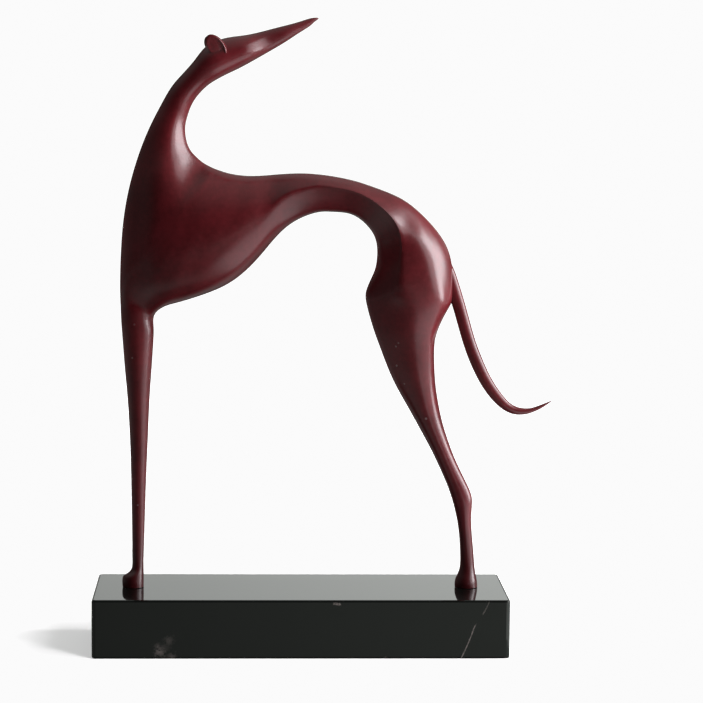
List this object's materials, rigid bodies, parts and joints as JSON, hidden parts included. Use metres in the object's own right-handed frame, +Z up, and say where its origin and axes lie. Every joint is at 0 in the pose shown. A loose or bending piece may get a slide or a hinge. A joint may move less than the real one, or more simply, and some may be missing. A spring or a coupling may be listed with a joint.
{
  "type": "dog figurine",
  "caption": "Slender stylised hound cast in wine-red bronze, head turned back over its arched back, standing on a rectangular black marble plinth.",
  "frame": {"origin": "centre of the plinth's underside", "axes": "+Z up; +X along the plinth from the dog's chest towards its tail; +Y from the side that the picture shows to the far side"},
  "size_m": [0.2794, 0.0816, 0.3832],
  "materials": {
    "patinated_bronze": "satin wine-red lacquered patina",
    "black_marble": "polished, with a few faint pale veins"
  },
  "bodies": {
    "root": {"dog": "patinated_bronze", "plinth": "black_marble"}
  },
  "joints": []
}
